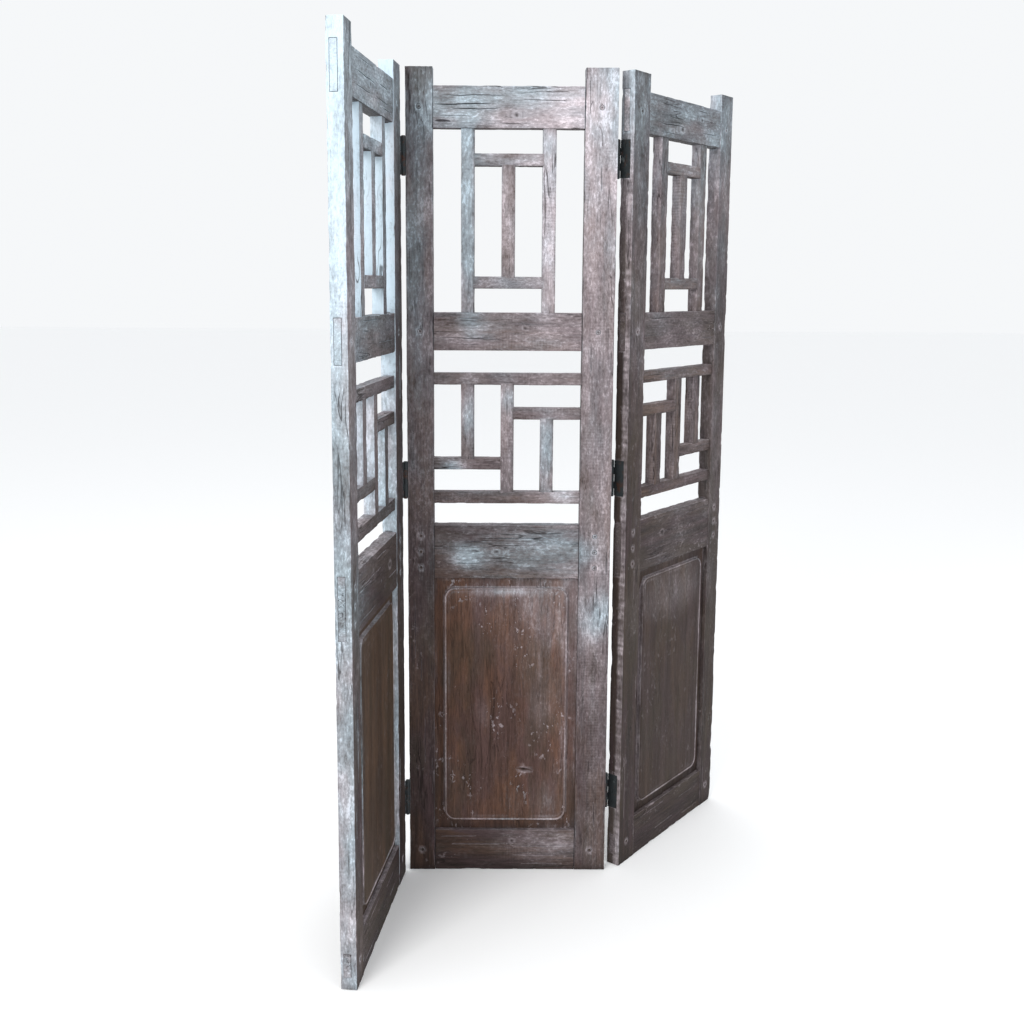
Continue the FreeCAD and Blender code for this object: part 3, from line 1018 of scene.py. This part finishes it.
# each crack: its start as shares of the rail's length and height, its length, width and
# depth; each knot: its place in the same shares, and its radius
rail_features = {
    "left_leaf_top_rail": (
        ((0.1, 0.62, 0.14, 0.002, 0.008), (0.55, 0.35, 0.12, 0.0018, 0.007)),
        ((0.42, 0.5, 0.008),),
    ),
    "left_leaf_mid_rail": ((), ((0.7, 0.45, 0.007),)),
    "left_leaf_lock_rail": (((0.05, 0.7, 0.16, 0.0016, 0.006),), ((0.8, 0.55, 0.01),)),
    "centre_leaf_top_rail": (
        ((0.01, 0.6, 0.12, 0.0026, 0.01), (0.06, 0.8, 0.13, 0.0018, 0.007),
         (0.12, 0.42, 0.1, 0.002, 0.008), (0.01, 0.2, 0.035, 0.006, 0.007)),
        ((0.55, 0.32, 0.008), (0.86, 0.66, 0.005)),
    ),
    "centre_leaf_mid_rail": (((0.05, 0.3, 0.12, 0.0016, 0.006),), ((0.62, 0.6, 0.006),)),
    "centre_leaf_lock_rail": (((0.4, 0.78, 0.15, 0.0016, 0.006),), ((0.43, 0.5, 0.007),)),
    "centre_leaf_bottom_rail": (((0.55, 0.62, 0.12, 0.0018, 0.007),), ((0.55, 0.72, 0.006),)),
    "right_leaf_top_rail": (
        ((0.1, 0.3, 0.13, 0.0018, 0.007),),
        ((0.44, 0.28, 0.009), (0.72, 0.62, 0.006)),
    ),
    "right_leaf_lock_rail": (((0.5, 0.3, 0.14, 0.0016, 0.006),), ((0.3, 0.62, 0.008),)),
}
for leaf in swings:
    for rail_name in rail_names:
        make_rail(leaf, rail_name, *rail_features.get(leaf + "_" + rail_name, ()))
report("rail")

# %% [markdown]
# ## The bars
#
# The window and the fret are made of square bars. They differ only in place and in
# whether the grain runs up or across. Each bar runs a little way into what it meets.

# %% Make the bars
stub_reach = 0.008
bar_sink = 0.004
bar_whites = {"left_leaf": 0.06, "centre_leaf": 0.14, "right_leaf": 0.00}
bar_side_whites = {"left_leaf": 0.28, "centre_leaf": 0.0, "right_leaf": 0.10}


def make_bars(node, along, extra_white):
    """One piece for a node, which holds one bar or, where its name ends in s, two."""
    leaf = leaf_of(node)
    cells = [0.0021, 0.0021, 0.0021]
    cells[along] = 0.0060
    bars = []
    for low, high in flat_halves(node, 2 - along) if node.endswith("s") else [flat_box(node)]:
        low[along] += stub_reach - bar_sink
        high[along] -= stub_reach - bar_sink
        bar = cube_between(node + "_worn", low, high)
        divide(bar, cells)
        weather(bar, along, low, high, 0.0013, 0.0022)
        # The 0.7 paints a shadow along each bar's right edge when upright, lower edge when
        # crossing.
        mark(bar, leaf, along, extra_white, bar_side_whites[leaf], 0.7)
        bars.append(bar)
    set_in_place(join(bars), node)


# each node's bars: the axis that they run along, and their share of the leaf's extra white
bar_nodes = {
    "window_centre_bar": (2, 1 / 2), "fret_centre_post": (2, 1 / 2),
    "fret_top_bar": (0, 0), "fret_bottom_bar": (0, 0), "fret_low_bar": (0, 0),
    "fret_high_bar": (0, 0), "window_side_bars": (2, 1), "window_cross_bars": (0, 1 / 3),
    "fret_short_posts": (2, 1 / 3),
}
for leaf in swings:
    for name, (along, share) in bar_nodes.items():
        make_bars(leaf + "_" + name, along, bar_whites[leaf] * share)
report("bar")
report("post")

# %% [markdown]
# ## The field panel
#
# The panel is a thin board held in grooves, with a thicker field in the middle. The
# field has round corners and a bead just inside its edge. The field is a cube whose
# upright corners are bevelled round, and whose face is inset again and again, each
# time a little lower or higher, to draw the bead.

# %% Make the panels
panel_board_faces = (-0.0055, 0.0035)
groove_depth = 0.008
field_border = 0.022
field_corner = 0.025
bead_steps = ((0.0028, 0.0), (0.0012, -0.0016), (0.0022, 0.0), (0.0030, 0.0011), (0.0120, 0.0003))


def raised_field(low, high, way):
    """A block with round corners and a beaded face; way is -1 for the front, 1 for the back."""
    field = cube_between("field", low, high)
    bpy.ops.object.mode_set(mode="EDIT")
    select_where(field, "EDGE", runs_along(1))
    bpy.ops.mesh.bevel(offset=field_corner, segments=8)
    select_where(field, "FACE", lambda face: face.normal.y * way > 0.9)
    for thickness, rise in bead_steps:
        bpy.ops.mesh.inset(thickness=thickness, depth=rise)
    bpy.ops.object.mode_set(mode="OBJECT")
    ease_arrises(field, 0.0007)
    return field


def slice_all(piece, axis, spacing):
    """Cut right across a piece at even steps along an axis, to give its flats cells."""
    low = min(vertex.co[axis] for vertex in piece.data.vertices)
    high = max(vertex.co[axis] for vertex in piece.data.vertices)
    count = int((high - low) / spacing)
    direction = Vector((0, 0, 0))
    direction[axis] = 1
    bpy.ops.object.mode_set(mode="EDIT")
    for number in range(1, count):
        place = Vector((0, 0, 0))
        place[axis] = low + (high - low) * number / count
        bpy.ops.mesh.select_all(action="SELECT")
        bpy.ops.mesh.bisect(plane_co=place, plane_no=direction)
    bpy.ops.object.mode_set(mode="OBJECT")


def rubbed_bead_and_frame_shadow(low, high):
    """The extra marks for a field between two corners: white along its bead and the frame, and a
    painted shadow from the frame on the left and lower margins.
    """
    middle = np.array([(low.x + high.x) / 2, (low.z + high.z) / 2])
    half = np.array([(high.x - low.x) / 2, (high.z - low.z) / 2])

    def extra(points):
        past = np.abs(points[:, [0, 2]] - middle) - half
        round_past = past + field_corner
        outside = np.hypot(*np.maximum(round_past, 0).T)
        outside += np.minimum(round_past.max(1), 0) - field_corner
        to_frame = (past - field_border).max(1)
        line = np.exp(-((outside + 0.0025) / 0.0022) ** 2)
        second = np.exp(-((outside + 0.0095) / 0.0018) ** 2)
        frame_line = np.exp(-((to_frame + 0.0025) / 0.0022) ** 2)
        broken = 0.5 + 0.5 * np.sin(points[:, 0] * 41 + points[:, 2] * 29)
        # Painted shadow from the frame over the left and lower margins beside the field.
        left_or_low = np.maximum(low.x - points[:, 0], low.z - points[:, 2])
        shade = np.clip(left_or_low / 0.010, 0, 1) * (outside > 0.001)
        white = line * (0.10 + 0.16 * broken) + (second * 0.09 + frame_line * 0.12) * broken
        return white, 0.45 * shade
    return extra


def make_panel(leaf, hollows=(), **marks):
    node = leaf + "_field_panel"
    low, high = flat_box(node)
    front, back = panel_board_faces
    panel = cube_between(node + "_worn", Vector((low.x, front, low.z)),
                         Vector((high.x, back, high.z)))
    inset = Vector((groove_depth + field_border, 0, groove_depth + field_border))
    field_low, field_high = low + inset, high - inset
    for near, far, way in ((low.y, front + 0.001, -1), (back - 0.001, high.y, 1)):
        field_low.y, field_high.y = near, far
        combine(panel, [raised_field(field_low, field_high, way)], "UNION")
    pick(panel)
    slice_all(panel, 0, 0.005)
    slice_all(panel, 2, 0.009)
    wear_along(panel, soft_noise, 0.0012, 2, 0.06, 0.25)
    wear_along(panel, ridge_noise, 0.0004, 2, 0.014, 0.12)
    size = high - low
    cuts = [hollow((low.x + x * size.x, low.y + 0.001, low.z + z * size.z), sizes, (0, tilt, 0))
            for x, z, sizes, tilt in hollows]
    combine(panel, cuts, "DIFFERENCE")
    mark(panel, leaf, 2, -0.05, extra=rubbed_bead_and_frame_shadow(field_low, field_high), **marks)
    set_in_place(panel, node)


gouge_z, gouge_x = 0.244, leaf_low["centre_leaf"].x + 0.262
make_panel("centre_leaf", [(0.624, 0.25, (0.022, 0.004, 0.005), 0.12)],
           knots=[(gouge_z, gouge_x, 0.007)])
make_panel("left_leaf")
make_panel("right_leaf")
report("panel")

# %% [markdown]
# ## The pegs
#
# Each tenon is locked by a round peg driven through the stile. The pegs were whittled,
# so they are only roughly round, and their ends stand a little proud of the worn wood.
# We shape one peg and copy it to all twelve places in a leaf.

# %% Make the pegs
peg_end_steps = ((0.0012, 0.0), (0.0012, -0.0004), (0.0014, -0.0003))


def make_pegs(leaf):
    node = leaf + "_pegs"
    low, high = flat_box(node)
    columns, rows = peg_centres(leaf)
    first = rod_through(columns[0], rows[0], peg_radius(leaf), low.y, high.y, 14)
    bpy.ops.object.mode_set(mode="EDIT")
    select_where(first, "FACE", lambda face: abs(face.normal.y) > 0.9)
    for thickness, rise in peg_end_steps:
        bpy.ops.mesh.inset(thickness=thickness, depth=rise)
    bpy.ops.object.mode_set(mode="OBJECT")
    ease_arrises(first, 0.0006)
    pegs = [first]
    for x, z in [(x, z) for x in columns for z in rows][1:]:
        copy = first.copy()
        copy.data = first.data.copy()
        bpy.context.scene.collection.objects.link(copy)
        copy.data.transform(Matrix.Translation((x - columns[0], 0, z - rows[0])))
        pegs.append(copy)
    whole = join(pegs)
    whole.name = node + "_worn"
    place_guide((0.006, 0.02, 0.006))
    wear(whole, soft_noise, 0.0005)

    def dark_hearts(points):
        """Pale round the rim of each peg, and dark in its middle."""
        offsets = [np.hypot(points[:, 0] - x, points[:, 2] - z) for x in columns for z in rows]
        nearest = np.min(offsets, axis=0) / peg_radius(leaf)
        return 0.24 * np.clip(nearest * 2 - 0.9, 0, 1), 0.9 * np.clip(1.2 - nearest * 2, 0, 1)

    mark(whole, leaf, 2, extra=dark_hearts)
    set_in_place(whole, node)


for leaf in swings:
    make_pegs(leaf)
report("pegs")

# %% [markdown]
# ## The hinges
#
# The hinges are wrought iron, blackened and dull, with rust in the low places and a
# smear of whitewash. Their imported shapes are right, so they keep them and only need
# this finish.

# %% The iron finish
def aged_iron(name):
    material, tree, shader = new_finish(name)
    place = tree.nodes.new("ShaderNodeTexCoord").outputs["Object"]
    blotches = speckle(tree, place, (90, 90, 60), 6.0, 0.65)
    pits = speckle(tree, place, (700, 700, 700), 3.0, 0.6)
    rust = fade(tree, speckle(tree, place, (60, 60, 45), 5.0, 0.7), 0.52, 0.66)
    smear = fade(tree, speckle(tree, place, (35, 35, 20), 5.0, 0.7), 0.60, 0.72)
    colour = blend_colours(tree, blotches, paint(28, 34, 38), paint(64, 70, 72))
    for share, strength, layer in ((rust, 0.7, paint(84, 52, 36)),
                                   (smear, 0.5, paint(150, 158, 160)),
                                   (fade(tree, pits, 0.5, 0.75), 0.5, paint(14, 14, 14))):
        colour = blend_colours(tree, times(tree, share, strength), colour, layer)
    tree.links.new(colour, shader.inputs["Base Color"])
    shader.inputs["Metallic"].default_value = 0.55
    roughness = add(tree, 0.42, times(tree, blotches, 0.4), True)
    tree.links.new(roughness, shader.inputs["Roughness"])
    add_bump(tree, shader, pits, 0.6, 0.0004)
    return material


iron = aged_iron("aged black iron")
for node, part in frame["nodes"].items():
    if slot_of[node] == "hinge_iron":
        part.data.materials.clear()
        part.data.materials.append(iron)

# %% [markdown]
# ## Floor, light and camera
#
# A plain pale floor, a pale surround and three soft lights: a large one from the front
# left, which leaves the inner faces of the swung leaves darker, a weak fill from the
# right and one from above.

# %% The floor and the surround
bpy.data.objects.remove(guide)
clear_selection()
bpy.ops.mesh.primitive_plane_add(size=60)
floor = bpy.context.object
floor.name = "studio_floor"
floor_finish, floor_tree, floor_shader = new_finish("studio floor")
floor_shader.inputs["Base Color"].default_value = (0.97, 0.975, 0.98, 1)
floor_shader.inputs["Roughness"].default_value = 0.9
floor.data.materials.append(floor_finish)

world = bpy.data.worlds.new("studio")
world.use_nodes = True
background = world.node_tree.nodes["Background"]
background.inputs["Color"].default_value = (0.97, 0.985, 1.0, 1)
background.inputs["Strength"].default_value = 0.95
bpy.context.scene.world = world


# %% The lights
def soft_light(name, place, target, size, power, tint=(1, 1, 1)):
    light = bpy.data.lights.new(name, "AREA")
    light.shape = "SQUARE"
    light.size = size
    light.energy = power
    light.color = tint
    holder = bpy.data.objects.new(name, light)
    bpy.context.scene.collection.objects.link(holder)
    holder.location = place
    aim = Vector(target) - Vector(place)
    holder.rotation_euler = aim.to_track_quat("-Z", "Y").to_euler()


soft_light("key", (-1.9, -3.6, 3.0), (0.0, 0.0, 1.1), 1.8, 110, (1.0, 0.99, 0.97))
soft_light("fill", (3.2, -2.6, 1.6), (0.1, 0.0, 0.9), 2.4, 14, (0.95, 0.97, 1.0))
soft_light("top", (0.2, 0.4, 4.2), (0.0, 0.0, 0.8), 2.5, 30)


# %% The camera
camera_place = Vector((-0.0106, -2.4710, 1.3516))
yaw, pitch, roll = 0.0063, -0.1456, 0.0067
focal_share = 1127.6 / 1024
forward = Vector((math.sin(yaw) * math.cos(pitch), math.cos(yaw) * math.cos(pitch),
                  math.sin(pitch)))
level_right = forward.cross(Vector((0, 0, 1))).normalized()
level_up = level_right.cross(forward)
right = level_right * math.cos(roll) + level_up * math.sin(roll)
up = level_up * math.cos(roll) - level_right * math.sin(roll)
camera_data = bpy.data.cameras.new("camera")
camera = bpy.data.objects.new("camera", camera_data)
bpy.context.scene.collection.objects.link(camera)
camera_data.sensor_width = 36.0
camera_data.lens = 36.0 * focal_share
camera_data.shift_y = -0.0625
camera.matrix_world = Matrix((
    (right.x, up.x, -forward.x, camera_place.x),
    (right.y, up.y, -forward.y, camera_place.y),
    (right.z, up.z, -forward.z, camera_place.z),
    (0, 0, 0, 1),
))
bpy.context.scene.camera = camera
bpy.context.scene.view_settings.view_transform = "Standard"

# %% [markdown]
# ## Finish
#
# The finished screen must fit the imported one. The script ends by printing the triangles in all
# the pieces and in the largest.

# %% Count the triangles
print("triangles in all", sum(triangles.values()), "largest", max(triangles.values()))
